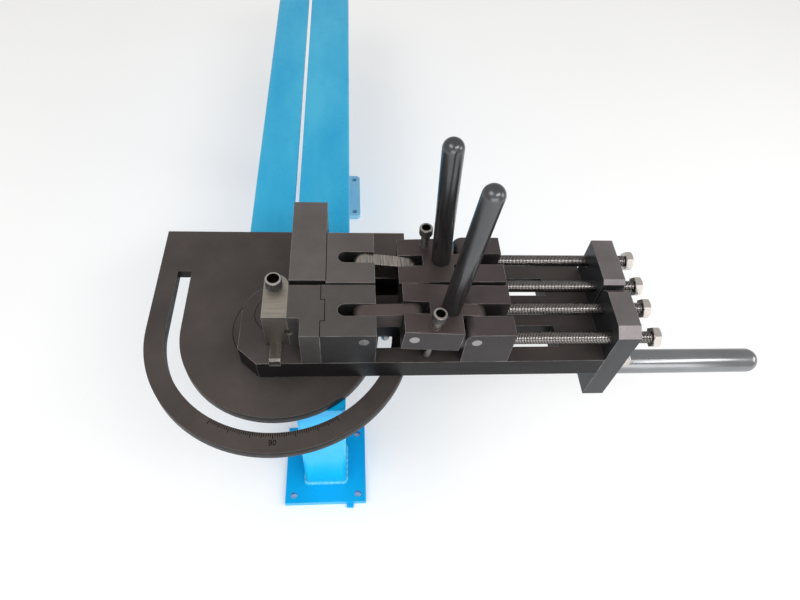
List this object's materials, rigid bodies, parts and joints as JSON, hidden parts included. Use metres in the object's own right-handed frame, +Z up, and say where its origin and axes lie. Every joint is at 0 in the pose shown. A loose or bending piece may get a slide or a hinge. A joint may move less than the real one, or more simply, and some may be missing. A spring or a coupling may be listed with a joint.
{
  "type": "manual tube bender",
  "caption": "Bench-height manual tube bender: a swing arm with toggle clamp and a fixed pressure unit on a slotted steel bed with bolt-down feet.",
  "frame": {"origin": "centre of the front foot's four bolt holes, on the underside of the foot, which is the floor", "axes": "+Z up; +Y away along the bed; +X along the swing arm at rest"},
  "size_m": [0.8756, 1.238, 0.5971],
  "materials": {
    "black_steel": "black oxide, milled",
    "black_gloss": "black oxide, turned and oiled",
    "ground_steel": "ground bare steel",
    "bright_steel": "bare steel",
    "zinc_steel": "bright zinc",
    "bronze": "turned bearing bronze",
    "blue_paint": "gloss sky blue paint"
  },
  "bodies": {
    "base": {"base_plate": "black_steel", "hub_housing": "black_steel", "hub_screws": "black_steel", "upper_bush": "bronze", "lower_bush": "bronze", "thrust_washer": "bronze", "guide_plate": "black_steel", "guide_plate_screws": "black_steel", "rear_end_plate": "black_steel", "rear_end_plate_screws": "zinc_steel", "left_rail": "blue_paint", "right_rail": "blue_paint", "rail_screws": "black_steel", "rail_tie": "blue_paint", "front_post": "blue_paint", "rear_post": "blue_paint", "front_foot": "blue_paint", "rear_foot": "blue_paint"},
    "swing": {"swing_arm": "black_steel", "spindle": "black_steel", "spindle_nut": "black_steel", "arm_guide_pin": "bright_steel", "bend_die": "ground_steel", "die_screw": "black_steel", "die_key": "bright_steel", "front_end_plate": "black_steel", "front_end_plate_screws": "zinc_steel", "main_handle": "black_gloss"},
    "clamp_fork": {"clamp_fork": "black_steel", "clamp_fork_pin": "bright_steel", "clamp_fork_keeper": "black_steel", "clamp_fork_keeper_screws": "black_steel"},
    "clamp_lever": {"clamp_lever_block": "black_steel", "clamp_lever_handle": "black_gloss", "clamp_stop_screw": "black_steel", "clamp_link_pin": "bright_steel"},
    "clamp_link": {"clamp_link": "black_steel"},
    "clamp_slide": {"clamp_slide": "black_steel", "clamp_slide_pin": "bright_steel", "clamp_slide_keeper": "black_steel", "clamp_slide_keeper_screws": "black_steel", "clamp_die": "black_steel"},
    "clamp_bolt_front": {"clamp_bolt_front": "zinc_steel"},
    "clamp_bolt_rear": {"clamp_bolt_rear": "zinc_steel"},
    "pressure_fork": {"pressure_fork": "black_steel", "pressure_fork_pin": "bright_steel", "pressure_fork_keeper": "black_steel", "pressure_fork_keeper_screws": "black_steel"},
    "pressure_lever": {"pressure_lever_block": "black_steel", "pressure_lever_handle": "black_gloss", "pressure_stop_screw": "black_steel", "pressure_link_pin": "bright_steel"},
    "pressure_link": {"pressure_link": "bright_steel"},
    "pressure_slide": {"pressure_slide": "black_steel", "pressure_slide_pin": "bright_steel", "pressure_slide_keeper": "black_steel", "pressure_slide_keeper_screws": "black_steel", "pressure_die": "black_steel"},
    "pressure_bolt_front": {"pressure_bolt_front": "zinc_steel"},
    "pressure_bolt_rear": {"pressure_bolt_rear": "zinc_steel"}
  },
  "joints": [
    {"name": "arm_swing", "type": "hinge", "parent": "base", "child": "swing", "pos_m": [-0.056, 0.086, 0.294], "axis": [0, 0, 1], "range_deg": [-180, 0]},
    {"name": "clamp_adjust", "type": "slide", "parent": "swing", "child": "clamp_fork", "axis": [1, 0, 0], "range_m": [0, 0.04]},
    {"name": "clamp_lever_turn", "type": "hinge", "parent": "clamp_fork", "child": "clamp_lever", "pos_m": [0.1939, 0.04775, 0.3737], "axis": [0, 1, 0], "range_deg": [0, 26]},
    {"name": "clamp_link_turn", "type": "hinge", "parent": "clamp_lever", "child": "clamp_link", "pos_m": [0.11614, 0.04775, 0.37982], "axis": [0, 1, 0], "range_deg": [-60.6, 0]},
    {"name": "clamp_slide_travel", "type": "slide", "parent": "clamp_fork", "child": "clamp_slide", "axis": [1, 0, 0], "range_m": [0, 0.0227]},
    {"name": "clamp_bolt_front_spin", "type": "hinge", "parent": "clamp_fork", "child": "clamp_bolt_front", "pos_m": [0.324, 0.025, 0.36], "axis": [1, 0, 0], "range_deg": [0, 7220]},
    {"name": "clamp_bolt_rear_spin", "type": "hinge", "parent": "clamp_fork", "child": "clamp_bolt_rear", "pos_m": [0.324, 0.0705, 0.36], "axis": [1, 0, 0], "range_deg": [0, 7220]},
    {"name": "pressure_adjust", "type": "slide", "parent": "base", "child": "pressure_fork", "axis": [1, 0, 0], "range_m": [0, 0.04]},
    {"name": "pressure_lever_turn", "type": "hinge", "parent": "pressure_fork", "child": "pressure_lever", "pos_m": [0.1939, 0.1305, 0.3737], "axis": [0, 1, 0], "range_deg": [0, 30]},
    {"name": "pressure_link_turn", "type": "hinge", "parent": "pressure_lever", "child": "pressure_link", "pos_m": [0.11601, 0.1305, 0.36962], "axis": [0, 1, 0], "range_deg": [-69, 0]},
    {"name": "pressure_slide_travel", "type": "slide", "parent": "pressure_fork", "child": "pressure_slide", "axis": [1, 0, 0], "range_m": [0, 0.0165]},
    {"name": "pressure_bolt_front_spin", "type": "hinge", "parent": "pressure_fork", "child": "pressure_bolt_front", "pos_m": [0.324, 0.10775, 0.36], "axis": [1, 0, 0], "range_deg": [0, 7220]},
    {"name": "pressure_bolt_rear_spin", "type": "hinge", "parent": "pressure_fork", "child": "pressure_bolt_rear", "pos_m": [0.324, 0.15325, 0.36], "axis": [1, 0, 0], "range_deg": [0, 7220]}
  ],
  "couplings": [
    {"joint": "clamp_link_turn", "follows": "clamp_lever_turn", "ratio": -2.292},
    {"joint": "clamp_slide_travel", "follows": "clamp_lever_turn", "m_per_rad": 0.049268},
    {"joint": "clamp_bolt_front_spin", "follows": "clamp_adjust", "rad_per_m": 3141.6},
    {"joint": "clamp_bolt_rear_spin", "follows": "clamp_adjust", "rad_per_m": 3141.6},
    {"joint": "pressure_link_turn", "follows": "pressure_lever_turn", "ratio": -2.2679},
    {"joint": "pressure_slide_travel", "follows": "pressure_lever_turn", "m_per_rad": 0.030995},
    {"joint": "pressure_bolt_front_spin", "follows": "pressure_adjust", "rad_per_m": 3141.6},
    {"joint": "pressure_bolt_rear_spin", "follows": "pressure_adjust", "rad_per_m": 3141.6}
  ]
}
